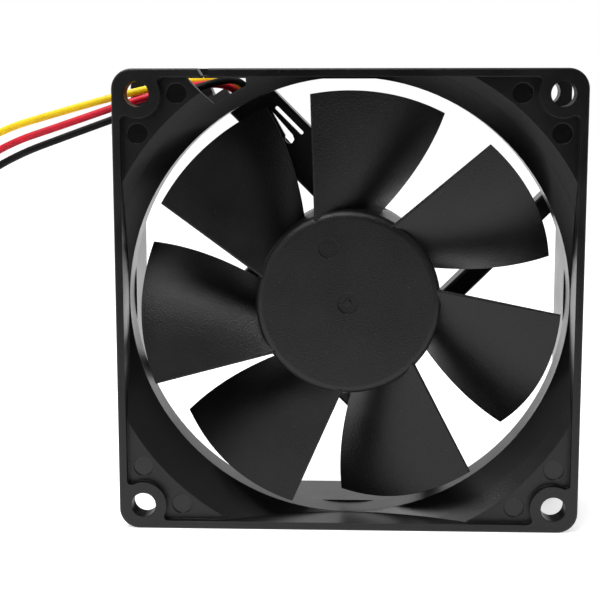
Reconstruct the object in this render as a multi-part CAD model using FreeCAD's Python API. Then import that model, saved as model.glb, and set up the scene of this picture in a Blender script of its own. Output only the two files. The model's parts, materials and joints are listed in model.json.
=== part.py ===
# Axial case fan, 80 x 80 x 25 mm, with a three-wire lead and connector.
#
# Millimetres. Seen from the intake side, X is right and Z is up, and the air flows along +Y. The origin is
# the centre of the square frame, on the rotor's axis. A depth is a distance behind the intake face, and an
# angle is counted from +X towards +Z. The fan stands on its lower edge, and the lead's spare length lies
# beside it.

import FreeCAD
import Part
import math
import os

# ---- driving dimensions ----

# Frame
SIZE = 80.0
DEPTH = 25.0
HOLE_PITCH = 71.5
HOLE_R = 2.15
CORNER_R = 3.5
FLANGE = 4.0
EDGE_ROUND = 0.35

# Air duct
THROAT_R = 38.5
THROAT_START = 6.7
THROAT_END = 12.5
FLARE_R = 43.8
RECESS = 1.4
INTAKE_FLAT = 38.6
EXIT_R = 42.4
EXIT_FLAT = 38.2
DUCT_R = 40.6
GUSSET_R = 43.4
EXIT_GUSSET = 14.5

# Corner pockets
POCKET_EDGE = INTAKE_FLAT
BOSS_R = 4.05
BOSS_FILLET = 0.8
PIN_MARK_R = 1.75
PIN_MARK_DEPTH = 0.3
PIN_MARK_NEAR = 29.1
PIN_MARK_FAR = 35.85

# Window in the intake flange through which the leads are laid
WINDOW_LEFT = -27.4
WINDOW_RIGHT = -17.5
WINDOW_TOP = 38.35
WINDOW_R = 41.0
SLOT_FLOOR = 38.8
SLIT_LEFT = -24.75
SLIT_WIDTH = 0.4

# Motor base and struts
BASE_R = 15.8
BASE_WALL = 1.0
BASE_FRONT = 18.0
BASE_FLOOR = 22.6
LABEL_R = 13.4
LABEL_RECESS = 0.3
LABEL_THICKNESS = 0.12
LABEL_CLEARANCE = 0.15
SOCKET_R = 6.0
CLIP_ACCESS_R = 3.0
STRUT_FRONT = 19.0
STRUT_OUTER = 15.85
STRUT_INNER = 12.35
STRUT_ROUND = 0.7
CHANNEL_INNER = 7.3
CHANNEL_WEB = 1.6
CHANNEL_WALL = 1.0
WAY_LEFT = 9.9
WAY_RIGHT = 14.2
WAY_START = 37.4
WEB_END = 0.8

# Impeller
HUB_R = 16.0
HUB_FRONT = 2.0
HUB_BACK = 16.8
HUB_WALL = 1.2
HUB_TOP = 1.6
HUB_ROUND = 1.4
GATE_R = 1.85
GATE_NUB_R = 0.55
GATE_RECESS = 0.3
MARK_R = 1.7
MARK_RECESS = 0.25
MARK_X = -3.4
MARK_Z = 9.5
BLADES = 7
TIP_R = 36.3
BLADE_ANGLE = -18.0
BLADE_ROOT = 14.3
BLADE_SPAN = 22.7
LEAD_ROOT = 6.82
LEAD_SWEEP = 0.126
TRAIL_ROOT = 3.35
TRAIL_SWEEP = 0.808
TRAIL_BOW = 0.0143
LEAD_DEPTH = 2.4
LEAD_RISE = 1.2
TRAIL_DEPTH = 13.7
CAMBER = 0.075
ROOT_THICKNESS = 1.9
TIP_THICKNESS = 1.25

# Rotor and shaft
YOKE_R = 14.7
YOKE_WALL = 0.8
MAGNET_OUTER = 13.88
MAGNET_INNER = 12.4
MAGNET_FRONT = 7.5
ROTOR_BACK = 16.4
SHAFT_R = 1.5
SHAFT_FRONT = 2.9
SHAFT_BACK = 21.9
SHAFT_CHAMFER = 0.3
GROOVE_R = 1.15
GROOVE_FRONT = 20.85
GROOVE_BACK = 21.15
CLIP_R = 2.6
CLIP_CLEARANCE = 0.03
BUSH_R = 2.6
BUSH_BACK = 6.4

# Ball bearings, 3 x 7 x 3
BEARING_R = 3.5
BEARING_WIDTH = 3.0
INNER_RING_R = 2.15
OUTER_RING_R = 2.85
BALL_R = 0.6
BALL_PITCH_R = 2.5
BALLS = 7
RUNNING_GAP = 0.05
FRONT_BEARING = 7.5
REAR_BEARING = 17.0

# Stator
TUBE_R = 4.5
TUBE_FRONT = 6.9
CORE_R = 12.0
CORE_FRONT = 8.5
CORE_BACK = 13.5
POLES = 4
NECK = 4.0
SHOE = 1.1
SHOE_GAP = 2.2
INSULATION = 0.6
WINDING = 1.5
LIP = 1.6
LIP_GAP = 8.0
CORE_CLEARANCE = 0.02
COLLAR = 1.6

# Circuit board
BOARD_R = 14.3
BOARD_FRONT = 18.0
BOARD_BACK = 19.0
PIN_CIRCLE_R = 8.6
PIN_R = 0.3
PIN_ANGLE = 22.0
CHIP_X = -0.9

# Leads: each route is a list of points from the board to the spare coil
LEAD = 1.3
FLOOR = -SIZE / 2

# Spare coil, tie and connector
COIL_X = -110.0
COIL_R = 7.3
BUNDLE = 2.85
COIL_TURNS = 2.5
COIL_LIFT = 0.4
TIE_WIDTH = 2.4
PLUG_LENGTH = 12.7
PLUG_WIDTH = 7.8
PLUG_HEIGHT = 5.8
PLUG_BACK = -92.5
PIN_PITCH = 2.54
CRIMP_START = 1.0

ORIGIN = FreeCAD.Vector(0, 0, 0)
ALONG = FreeCAD.Vector(0, 1, 0)
UP = FreeCAD.Vector(0, 0, 1)


# ---- helpers ----

def y_of(depth):
    """The row's y of a depth behind the intake face."""
    return depth - DEPTH / 2


def drum(radius, start, end, bore=0.0, x=0.0, z=0.0):
    """A cylinder along Y between two depths, with a bore if one is given."""
    foot = FreeCAD.Vector(x, y_of(start), z)
    solid = Part.makeCylinder(radius, end - start, foot, ALONG)
    if bore:
        solid = solid.cut(Part.makeCylinder(bore, end - start, foot, ALONG))
    return solid


def slab(x0, x1, start, end, z0, z1):
    """A box between two depths."""
    return Part.makeBox(x1 - x0, end - start, z1 - z0, FreeCAD.Vector(x0, y_of(start), z0))


def square(half, start, end):
    """A square block centred on the axis."""
    return slab(-half, half, start, end, -half, half)


def revolved(profile):
    """The solid that a closed (radius, depth) outline sweeps about the axis."""
    points = [FreeCAD.Vector(radius, y_of(depth), 0) for radius, depth in profile]
    face = Part.Face(Part.makePolygon(points + points[:1]))
    return face.revolve(ORIGIN, ALONG, 360)


def prism(outline, start, end):
    """An (x, z) outline carried between two depths."""
    points = [FreeCAD.Vector(x, y_of(start), z) for x, z in outline]
    face = Part.Face(Part.makePolygon(points + points[:1]))
    return face.extrude(FreeCAD.Vector(0, end - start, 0))


def turned(shape, angle):
    """A copy turned about the axis, from +X towards +Z."""
    copy = shape.copy()
    copy.rotate(ORIGIN, -ALONG, angle)
    return copy


def ring_of(shape, count, first=0.0):
    """Copies of a shape evenly round the axis."""
    return [turned(shape, first + index * 360.0 / count) for index in range(count)]


def joined(shapes):
    """One shape from several that touch or overlap."""
    return shapes[0].multiFuse(shapes[1:]).removeSplitter()


def axial_edges(shape, wanted):
    """The straight edges along Y whose (x, z) place passes a test."""
    found = []
    for edge in shape.Edges:
        first, last = edge.Vertexes[0].Point, edge.Vertexes[-1].Point
        if abs(first.x - last.x) + abs(first.z - last.z) < 1e-6 and abs(first.y - last.y) > 1e-6:
            if wanted(first.x, first.z):
                found.append(edge)
    return found


def rounded_block(x0, x1, start, end, z0, z1, radius):
    """A box with its edges along Y rounded."""
    block = slab(x0, x1, start, end, z0, z1)
    return block.makeFillet(radius, axial_edges(block, lambda x, z: True))


# ---- frame ----

def flange(start, outer_face):
    """One square flange, with the edge of its outer face softened."""
    half = SIZE / 2
    plate = rounded_block(-half, half, start, start + FLANGE, -half, half, CORNER_R)
    rim = [edge for edge in plate.Edges
           if all(abs(vertex.Point.y - y_of(outer_face)) < 1e-6 for vertex in edge.Vertexes)]
    return plate.makeFillet(EDGE_ROUND, rim)


def duct_wall():
    """The round wall between the flanges, thickened behind the intake flare and round the exit."""
    reach = GUSSET_R - DUCT_R
    wall = revolved([(0, FLANGE / 2), (GUSSET_R, FLANGE / 2), (GUSSET_R, FLANGE), (DUCT_R, FLANGE + reach),
                     (DUCT_R, EXIT_GUSSET), (GUSSET_R, DEPTH - FLANGE), (GUSSET_R, DEPTH - FLANGE / 2),
                     (0, DEPTH - FLANGE / 2)])
    return wall.common(square(SIZE / 2, 0, DEPTH))


def air_passage():
    """Intake flare and throat, then the wider exit, each cut flat at the frame's four sides."""
    intake = revolved([(0, -1), (FLARE_R, -1), (FLARE_R, RECESS), (THROAT_R, THROAT_START),
                       (THROAT_R, THROAT_END), (0, THROAT_END)])
    widening = (EXIT_R - THROAT_R) / (DEPTH - THROAT_END)
    outlet = revolved([(0, THROAT_END), (THROAT_R, THROAT_END), (EXIT_R + widening, DEPTH + 1),
                       (0, DEPTH + 1)])
    return [intake.common(square(INTAKE_FLAT, -2, DEPTH)), outlet.common(square(EXIT_FLAT, 0, DEPTH + 2))]


def corner_pocket():
    """Shallow recess between the flare and the corner boss, in the +X +Z corner."""
    centre = HOLE_PITCH / 2
    pocket = slab(SIZE / 4, POCKET_EDGE, -1, RECESS, SIZE / 4, POCKET_EDGE)
    pocket = pocket.cut(drum(FLARE_R - 0.01, -2, FLANGE))
    pocket = pocket.cut(drum(BOSS_R, -2, FLANGE, x=centre, z=centre))
    creases = axial_edges(pocket, lambda x, z: abs(math.hypot(x - centre, z - centre) - BOSS_R) < 0.01)
    pocket = pocket.makeFillet(BOSS_FILLET, creases)
    marks = [drum(PIN_MARK_R, RECESS - 0.1, RECESS + PIN_MARK_DEPTH, x=x, z=z)
             for x, z in ((PIN_MARK_NEAR, PIN_MARK_FAR), (PIN_MARK_FAR, PIN_MARK_NEAR))]
    return pocket.multiFuse(marks)


def lead_window():
    """Triangular window in the intake flange, and the notch and slit in the rim that lead into it."""
    side = WINDOW_RIGHT - WINDOW_LEFT
    window = prism([(WINDOW_LEFT, WINDOW_TOP), (WINDOW_RIGHT, WINDOW_TOP),
                    (WINDOW_RIGHT, WINDOW_TOP - side)], -1, THROAT_START + 1)
    window = window.cut(drum(WINDOW_R, -2, DEPTH))
    rim = SIZE / 2
    notch = prism([(-25.8, rim + 1), (-25.5, rim), (SLIT_LEFT, SLOT_FLOOR), (-23.7, SLOT_FLOOR),
                   (-23.5, rim), (-23.5, rim + 1)], -1, FLANGE + 1)
    slit = slab(SLIT_LEFT, SLIT_LEFT + SLIT_WIDTH, -1, FLANGE + 1, WINDOW_TOP - 0.2, SLOT_FLOOR + 0.2)
    return [window, notch, slit]


def exit_window():
    """Opening in the exhaust flange outside the duct's wall, where the leads turn off."""
    opening = prism([(-25.8, 37.6), (-20.6, 37.6), (-20.6, 34.6), (-22.0, 33.9), (-24.2, 33.9)],
                    DEPTH - FLANGE - 1, DEPTH + 1)
    return opening.cut(drum(WINDOW_R, 0, DEPTH + 2))


def motor_base():
    """Cup that holds the motor, with a recess for the label on its back."""
    recess = DEPTH - LABEL_RECESS
    inner = BASE_R - BASE_WALL
    socket = BASE_FLOOR - 2.4
    edge = LABEL_R + LABEL_CLEARANCE
    return revolved([(TUBE_R, socket), (SOCKET_R, socket), (SOCKET_R, BASE_FLOOR), (inner, BASE_FLOOR),
                     (inner, BASE_FRONT), (BASE_R, BASE_FRONT), (BASE_R, DEPTH), (edge, DEPTH),
                     (edge, recess), (CLIP_ACCESS_R, recess), (CLIP_ACCESS_R, BASE_FLOOR),
                     (TUBE_R, BASE_FLOOR)])


def strut():
    """Plain strut with its foot on +X, tangential to the base."""
    bar = slab(STRUT_INNER, STRUT_OUTER, STRUT_FRONT, DEPTH, 2.0, SIZE / 2)
    long_edges = [edge for edge in bar.Edges
                  if abs(edge.Vertexes[0].Point.z - edge.Vertexes[-1].Point.z) > 1]
    return bar.makeFillet(STRUT_ROUND, long_edges)


def strut_reach():
    """The space that the struts fill: they end inside the duct's wall."""
    narrow = DUCT_R - 0.5
    wide = GUSSET_R - 0.3
    space = revolved([(0, 0), (narrow, 0), (narrow, EXIT_GUSSET), (wide, DEPTH - FLANGE), (wide, DEPTH),
                      (0, DEPTH)])
    return space.common(square(SIZE / 2 - 0.5, 0, DEPTH))


def channel_strut():
    """Wide strut that holds the leads in a channel open to the back, with its foot on +X."""
    web_back = STRUT_FRONT + CHANNEL_WEB
    start = 9.0
    end = SIZE / 2
    bridge_back = DEPTH - 0.2
    body = slab(CHANNEL_INNER, STRUT_OUTER, STRUT_FRONT, DEPTH, start, end)
    front_edges = [edge for edge in body.Edges
                   if abs(edge.Vertexes[0].Point.z - edge.Vertexes[-1].Point.z) > 1]
    body = body.makeFillet(STRUT_ROUND / 2, front_edges)
    groove = slab(CHANNEL_INNER + CHANNEL_WALL, STRUT_OUTER - CHANNEL_WALL, web_back, DEPTH + 1, 0, end + 1)
    bridge = slab(CHANNEL_INNER + 0.2, STRUT_OUTER - 0.2, bridge_back - 1.1, bridge_back, 20.0, 24.0)
    straight_slot = rounded_block(13.65, 14.35, STRUT_FRONT - 1, web_back + 1, 26.0, 32.9, 0.34)
    wedge_slot = prism([(12.95, 32.9), (12.6, 27.2), (12.2, 26.4), (11.4, 26.2), (10.9, 26.8), (10.95, 27.5),
                        (11.6, 28.1)], STRUT_FRONT - 1, web_back + 1)
    return body.cut(groove).fuse(bridge).cut(straight_slot).cut(wedge_slot)


def lead_ways():
    """Notches for the leads: in the base's wall, in the duct's wall and in the exhaust flange."""
    low = CHANNEL_INNER + CHANNEL_WALL
    web_back = STRUT_FRONT + CHANNEL_WEB
    in_base = slab(low, STRUT_OUTER - CHANNEL_WALL, web_back, BASE_FLOOR, 4.0, 16.0)
    over_web = slab(WAY_LEFT, WAY_RIGHT, STRUT_FRONT + WEB_END, DEPTH + 1, 35.2, WAY_START)
    in_wall = slab(WAY_LEFT, WAY_RIGHT, 16.5, DEPTH + 1, WAY_START, 41.6)
    return [turned(way, 45) for way in (in_base, over_web, in_wall)]


def frame():
    """The one-piece moulded frame: flanges, duct, struts and motor base."""
    body = joined([flange(0, 0), flange(DEPTH - FLANGE, DEPTH), duct_wall()])
    pockets = ring_of(corner_pocket(), 4)
    holes = ring_of(drum(HOLE_R, -1, DEPTH + 1, x=HOLE_PITCH / 2, z=HOLE_PITCH / 2), 4)
    body = body.cut(air_passage() + pockets + holes + lead_window() + [exit_window()])
    spokes = [turned(strut(), angle) for angle in (-45, 135, 225)]
    spokes.append(turned(channel_strut(), 45))
    inside_wall = strut_reach()
    cup_space = drum(BASE_R - BASE_WALL, 0, BASE_FLOOR)
    spokes = [spoke.common(inside_wall).cut(cup_space) for spoke in spokes]
    label_space = drum(LABEL_R + LABEL_CLEARANCE, BASE_FLOOR, DEPTH + 1)
    spokes = [spoke.cut(label_space) for spoke in spokes]
    body = joined([body, motor_base()] + spokes)
    return body.cut(lead_ways())


# ---- impeller ----

def blade_section(reach):
    """Closed outline of the blade where a plane at right angles to its middle line cuts it."""
    out = reach - BLADE_ROOT
    share = out / BLADE_SPAN
    lead = FreeCAD.Vector(reach, y_of(LEAD_DEPTH - LEAD_RISE * share), LEAD_ROOT + LEAD_SWEEP * out)
    trail_side = -(TRAIL_ROOT + TRAIL_SWEEP * out - TRAIL_BOW * out * out)
    trail = FreeCAD.Vector(reach, y_of(TRAIL_DEPTH), trail_side)
    thickness = ROOT_THICKNESS + (TIP_THICKNESS - ROOT_THICKNESS) * share
    chord = trail - lead
    normal = FreeCAD.Vector(0, chord.z, -chord.y)
    normal.normalize()
    front, back = [], []
    for step in range(7):
        along = step / 6.0
        swell = math.sin(math.pi * along)
        middle = lead + chord * along + normal * (CAMBER * chord.Length * swell)
        half = 0.5 * thickness * (0.4 + 0.6 * swell)
        front.append(middle + normal * half)
        back.append(middle - normal * half)
    unit = FreeCAD.Vector(chord).normalize()
    nose = lead - unit * 0.2 * thickness
    tail = trail + unit * 0.2 * thickness
    front_curve, back_curve = Part.BSplineCurve(), Part.BSplineCurve()
    front_curve.interpolate(front)
    back_curve.interpolate(back[::-1])
    edges = [front_curve.toShape(), Part.Arc(front[-1], tail, back[-1]).toShape(),
             back_curve.toShape(), Part.Arc(back[0], nose, front[0]).toShape()]
    return Part.Wire(edges)


def blade():
    """One blade, rooted in the hub's wall and trimmed round at its tip."""
    reaches = [BLADE_ROOT - 2.0 + step * (BLADE_SPAN + 3.5) / 5 for step in range(6)]
    body = Part.makeLoft([blade_section(reach) for reach in reaches], True, False)
    body = body.common(drum(TIP_R, 0, DEPTH, bore=HUB_R - HUB_WALL / 2))
    return turned(body, BLADE_ANGLE)


def hub():
    """Cup of the impeller, with its moulding marks on the front."""
    inner = HUB_R - HUB_WALL
    cup = revolved([(0, HUB_FRONT), (HUB_R, HUB_FRONT), (HUB_R, HUB_BACK), (inner, HUB_BACK),
                    (inner, HUB_FRONT + HUB_TOP), (0, HUB_FRONT + HUB_TOP)])
    front_edge = [edge for edge in cup.Edges
                  if abs(edge.BoundBox.YMax - y_of(HUB_FRONT)) < 1e-6 and edge.Length > 2 * math.pi * inner]
    cup = cup.makeFillet(HUB_ROUND, front_edge)
    gate = drum(GATE_R, HUB_FRONT - 1, HUB_FRONT + GATE_RECESS, bore=GATE_NUB_R)
    mark = drum(MARK_R, HUB_FRONT - 1, HUB_FRONT + MARK_RECESS, x=MARK_X, z=MARK_Z)
    seat = drum(SHAFT_R, SHAFT_FRONT, HUB_FRONT + HUB_TOP)
    return cup.cut([gate, mark, seat])


def impeller():
    """Hub and blades, moulded in one piece."""
    return joined([hub()] + ring_of(blade(), BLADES))


# ---- rotor and shaft ----

def rotor_yoke():
    """Steel cup inside the hub."""
    front = HUB_FRONT + HUB_TOP
    inner = YOKE_R - YOKE_WALL
    return revolved([(BUSH_R, front), (YOKE_R, front), (YOKE_R, ROTOR_BACK), (inner, ROTOR_BACK),
                     (inner, front + YOKE_WALL), (BUSH_R, front + YOKE_WALL)])


def ring_magnet():
    return drum(MAGNET_OUTER, MAGNET_FRONT, ROTOR_BACK, bore=MAGNET_INNER)


def shaft():
    """Shaft with the retaining clip's groove and two chamfered ends."""
    return revolved([(0, SHAFT_FRONT), (SHAFT_R - SHAFT_CHAMFER, SHAFT_FRONT),
                     (SHAFT_R, SHAFT_FRONT + SHAFT_CHAMFER), (SHAFT_R, GROOVE_FRONT), (GROOVE_R, GROOVE_FRONT),
                     (GROOVE_R, GROOVE_BACK), (SHAFT_R, GROOVE_BACK), (SHAFT_R, SHAFT_BACK - SHAFT_CHAMFER),
                     (SHAFT_R - SHAFT_CHAMFER, SHAFT_BACK), (0, SHAFT_BACK)])


def shaft_bush():
    return drum(BUSH_R, HUB_FRONT + HUB_TOP, BUSH_BACK, bore=SHAFT_R)


def preload_washer():
    """Coned spring washer between the bush and the front bearing's inner ring."""
    sheet = 0.25
    front, back = BUSH_BACK, FRONT_BEARING
    return revolved([(1.6, back - sheet), (2.05, back - sheet), (2.4, front), (2.5, front),
                     (2.5, front + sheet), (2.15, back), (1.6, back)])


def retaining_clip():
    """Open ring that snaps into the shaft's groove."""
    front = GROOVE_FRONT + CLIP_CLEARANCE
    back = GROOVE_BACK - CLIP_CLEARANCE
    ring = drum(CLIP_R, front, back, bore=GROOVE_R)
    mouth = 0.7 * GROOVE_R
    return ring.cut(slab(0, CLIP_R + 1, front - 1, back + 1, -mouth, mouth))


def spacer_washer():
    return drum(INNER_RING_R - 0.1, REAR_BEARING + BEARING_WIDTH, GROOVE_FRONT, bore=SHAFT_R + CLIP_CLEARANCE)


# ---- bearings ----

def race(front):
    """Path of the balls, as a torus a running gap larger than they are."""
    centre = FreeCAD.Vector(0, y_of(front + BEARING_WIDTH / 2), 0)
    return Part.makeTorus(BALL_PITCH_R, BALL_R + RUNNING_GAP, centre, ALONG)


def outer_ring(front):
    return drum(BEARING_R, front, front + BEARING_WIDTH, bore=OUTER_RING_R).cut(race(front))


def inner_ring(front):
    return drum(INNER_RING_R, front, front + BEARING_WIDTH, bore=SHAFT_R).cut(race(front))


def ball(front):
    return Part.makeSphere(BALL_R, FreeCAD.Vector(BALL_PITCH_R, y_of(front + BEARING_WIDTH / 2), 0))


def balls(front):
    return Part.makeCompound(ring_of(ball(front), BALLS))


def cage(front):
    """Ring that spaces the balls, with a round pocket for each."""
    middle = front + BEARING_WIDTH / 2
    half_wall = 0.18
    ring = drum(BALL_PITCH_R + half_wall, middle - 0.35, middle + 0.75, bore=BALL_PITCH_R - half_wall)
    inside = FreeCAD.Vector(2.0, y_of(middle), 0)
    pocket = Part.makeCylinder(BALL_R + 0.03, 1.0, inside, FreeCAD.Vector(1, 0, 0))
    return ring.cut(ring_of(pocket, BALLS))


def shields(front):
    """Thin covers at both faces of a bearing, held in its outer ring."""
    sheet = 0.15
    faces = (front + 0.1, front + BEARING_WIDTH - 0.1 - sheet)
    return Part.makeCompound([drum(OUTER_RING_R, face, face + sheet, bore=2.25) for face in faces])


# ---- stator ----

def bearing_tube():
    """Brass tube with a seat for a bearing at each end."""
    rear_seat = REAR_BEARING
    front_seat = FRONT_BEARING + BEARING_WIDTH
    back = BASE_FLOOR
    return revolved([(BEARING_R, TUBE_FRONT), (TUBE_R, TUBE_FRONT), (TUBE_R, back), (BEARING_R, back),
                     (BEARING_R, rear_seat), (3.1, rear_seat), (3.1, front_seat), (BEARING_R, front_seat)])


def pole_outline(core_r, neck, start, end):
    """Four necks and curved shoes round a collar, as a stack between two depths."""
    collar = drum(TUBE_R + COLLAR, start, end)
    shoe_ring = drum(core_r, start, end, bore=core_r - SHOE)
    arm = slab(0, core_r - SHOE / 2, start, end, -neck / 2, neck / 2)
    arms = ring_of(arm, POLES)
    gap = slab(0, core_r + 1, start - 1, end + 1, -SHOE_GAP / 2, SHOE_GAP / 2)
    shoes = shoe_ring.cut(ring_of(gap, POLES, 45.0))
    body = joined([collar, shoes] + arms)
    return body.cut(drum(TUBE_R + CORE_CLEARANCE, start - 1, end + 1))


def stator_core():
    return pole_outline(CORE_R, NECK, CORE_FRONT, CORE_BACK)


def insulator(start, end, lip_start, lip_end):
    """Plastic cover on one face of the core, with lips that keep the windings in place."""
    plate = pole_outline(CORE_R - 0.3, NECK + 0.2, start, end)
    inner_lip = drum(TUBE_R + 1.5, lip_start, lip_end, bore=TUBE_R + 0.6)
    outer_lip = drum(CORE_R - 0.35, lip_start, lip_end, bore=CORE_R - SHOE)
    gap = slab(0, CORE_R + 1, lip_start - 1, lip_end + 1, -LIP_GAP / 2, LIP_GAP / 2)
    outer_lip = outer_lip.cut(ring_of(gap, POLES, 45.0))
    return joined([plate, inner_lip, outer_lip])


def front_insulator():
    cover = CORE_FRONT - INSULATION
    return insulator(cover, CORE_FRONT, cover - LIP, cover)


def rear_insulator():
    """The rear cover also stands on the circuit board on four legs."""
    cover = CORE_BACK + INSULATION
    body = insulator(CORE_BACK, cover, cover, cover + LIP)
    legs = ring_of(slab(10.95, 11.6, CORE_BACK, BOARD_FRONT, -0.9, 0.9), POLES)
    return joined([body] + legs)


def winding():
    """Coil round the neck that points along +X."""
    start, end = CORE_FRONT - INSULATION, CORE_BACK + INSULATION
    half = NECK / 2 + 0.15
    outer = slab(6.35, 9.8, start - WINDING, end + WINDING, -half - WINDING, half + WINDING)
    along_x = [edge for edge in outer.Edges
               if abs(edge.Vertexes[0].Point.x - edge.Vertexes[-1].Point.x) > 1]
    outer = outer.makeFillet(WINDING * 0.8, along_x)
    return outer.cut(slab(6, 11, start - 0.03, end + 0.03, -half, half))


# ---- circuit board ----

def circuit_board():
    """Round board under the stator, with a hole for each winding pin."""
    board = drum(BOARD_R, BOARD_FRONT, BOARD_BACK, bore=TUBE_R + 0.2)
    holes = ring_of(drum(PIN_R + 0.05, BOARD_FRONT - 1, BOARD_BACK + 1, x=PIN_CIRCLE_R), POLES, PIN_ANGLE)
    return board.cut(holes)


def winding_pins():
    pin = drum(PIN_R, BOARD_FRONT - 1.2, BOARD_BACK + 0.7, x=PIN_CIRCLE_R)
    return Part.makeCompound(ring_of(pin, POLES, PIN_ANGLE))


def hall_sensor():
    """Sensor with four legs, just behind the magnet's edge."""
    body = slab(11.2, 13.4, 16.85, BOARD_FRONT, -2.0, 2.0)
    body = body.makeFillet(0.2, axial_edges(body, lambda x, z: True))
    return turned(body, 45)


def driver_chip():
    """Eight-legged driver on the back of the board."""
    low, high = -12.3, -7.3
    half, leg_reach, leg_width, leg_pitch = 2.0, 3.0, 0.4, 1.27
    body = slab(CHIP_X - half, CHIP_X + half, BOARD_BACK + 0.1, BOARD_BACK + 1.6, low, high)
    legs = []
    for index in range(4):
        z = low + 0.6 + index * leg_pitch
        for start in (CHIP_X - leg_reach, CHIP_X + half - 0.1):
            end = start + leg_reach - half + 0.1
            legs.append(slab(start, end, BOARD_BACK, BOARD_BACK + 0.25, z, z + leg_width))
    return joined([body] + legs)


def chip_part(length, width, height, x, z, angle):
    """A small surface-mounted part on the back of the board."""
    part = rounded_block(-length / 2, length / 2, BOARD_BACK, BOARD_BACK + height, -width / 2, width / 2, 0.1)
    part = turned(part, angle)
    part.translate(FreeCAD.Vector(x, 0, z))
    return part


def capacitors():
    large = chip_part(3.2, 1.6, 1.2, 7.8, -5.6, 20)
    small = chip_part(2.0, 1.25, 0.9, -8.6, -5.2, -35)
    return Part.makeCompound([large, small])


def resistors():
    return Part.makeCompound([chip_part(2.0, 1.25, 0.5, x, z, angle)
                              for x, z, angle in ((-10.4, 0.2, 90), (-7.4, 4.3, 0), (10.6, -0.6, 90))])


def diode():
    return chip_part(3.6, 1.8, 1.1, 9.4, 7.2, -50)


def solder_joints():
    """Solder at the winding pins and over the ends of the three leads."""
    pad, film = 0.8, 0.09
    cone = Part.makeCone(pad, pad / 2, 0.6, FreeCAD.Vector(PIN_CIRCLE_R, y_of(BOARD_BACK), 0), ALONG)
    cone = cone.cut(drum(PIN_R, BOARD_BACK - 1, BOARD_BACK + 2, x=PIN_CIRCLE_R))
    pads = []
    for route in LEAD_ROUTES.values():
        end = route[0]
        pads.append(slab(end.x - pad, end.x + pad, BOARD_BACK, BOARD_BACK + film, end.z - pad, end.z + pad))
    return Part.makeCompound(ring_of(cone, POLES, PIN_ANGLE) + pads)


def rear_label():
    recess = DEPTH - LABEL_RECESS
    return drum(LABEL_R, recess, recess + LABEL_THICKNESS)


# ---- leads ----

def in_channel(offset, along, depth):
    """A point of the wide strut: its distance from the axis, its distance from the foot, and its depth."""
    slant = math.sqrt(0.5)
    return FreeCAD.Vector(slant * (offset - along), y_of(depth), slant * (offset + along))


LEAD_ROUTES = {
    "yellow": [
        in_channel(12.1, 3.7, 19.8), in_channel(12.3, 8.3, 21.95), in_channel(12.0, 15.5, 22.7),
        in_channel(9.9, 24.0, 22.85), in_channel(9.9, 32.6, 22.9), in_channel(12.3, 39.8, 21.5),
        FreeCAD.Vector(-24.5, 2.0, 38.3), FreeCAD.Vector(-36.7, -2.4, 36.3),
        FreeCAD.Vector(-50.0, -2.7, 32.7),
        FreeCAD.Vector(-64.0, -1.6, 28.6), FreeCAD.Vector(-75.5, 0.6, 18.8), FreeCAD.Vector(-83.3, 3.2, 5.3),
        FreeCAD.Vector(-88.3, 5.4, -10.3), FreeCAD.Vector(-93.1, 6.7, -24.6),
        FreeCAD.Vector(-99.7, 7.2, -35.2), FreeCAD.Vector(-107.0, 7.3, -37.4)],
    "red": [
        in_channel(9.0, 6.0, 19.8), in_channel(9.0, 11.5, 21.65), in_channel(9.15, 19.5, 21.4),
        in_channel(9.1, 33.0, 21.8), in_channel(11.4, 39.1, 20.2),
        FreeCAD.Vector(-24.0, 0.1, 37.9), FreeCAD.Vector(-36.8, -2.6, 34.8),
        FreeCAD.Vector(-49.0, -2.9, 30.6),
        FreeCAD.Vector(-62.5, -1.8, 26.2), FreeCAD.Vector(-73.6, 1.3, 17.4), FreeCAD.Vector(-81.2, 4.2, 4.8),
        FreeCAD.Vector(-86.7, 6.3, -10.7), FreeCAD.Vector(-91.9, 7.5, -25.5),
        FreeCAD.Vector(-99.0, 7.9, -36.4), FreeCAD.Vector(-107.0, 7.95, -38.6)],
    "black": [
        in_channel(10.9, 5.2, 19.8), in_channel(10.7, 10.5, 21.7), in_channel(10.45, 18.5, 21.45),
        in_channel(10.55, 33.0, 21.8), in_channel(13.2, 39.6, 19.8),
        FreeCAD.Vector(-22.0, -1.5, 38.4), FreeCAD.Vector(-36.0, -3.7, 33.1),
        FreeCAD.Vector(-47.5, -3.5, 29.0),
        FreeCAD.Vector(-60.5, -2.9, 24.3), FreeCAD.Vector(-72.4, -0.5, 16.2), FreeCAD.Vector(-80.4, 2.5, 4.0),
        FreeCAD.Vector(-86.2, 4.7, -11.0), FreeCAD.Vector(-91.9, 6.0, -25.6),
        FreeCAD.Vector(-99.0, 6.5, -36.4), FreeCAD.Vector(-107.0, 6.6, -38.6)],
}

PLUG_Y = -COIL_R
TAIL_START = FreeCAD.Vector(COIL_X + 0.5, PLUG_Y, FLOOR + COIL_LIFT + BUNDLE * (COIL_TURNS + 0.5))


def lead_tail(place):
    """Points of a lead from the top of the coil to its place in the connector, -1, 0 or 1."""
    spread = place * PIN_PITCH
    gathered = FreeCAD.Vector(0, place * 1.35, 0)
    socket = FreeCAD.Vector(PLUG_BACK + CRIMP_START, PLUG_Y + spread, FLOOR + PLUG_HEIGHT / 2)
    return [TAIL_START + gathered, TAIL_START + gathered * 1.2 + FreeCAD.Vector(5.0, 0, -0.6),
            socket + FreeCAD.Vector(-6.0, 0, 0.5), socket]


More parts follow.
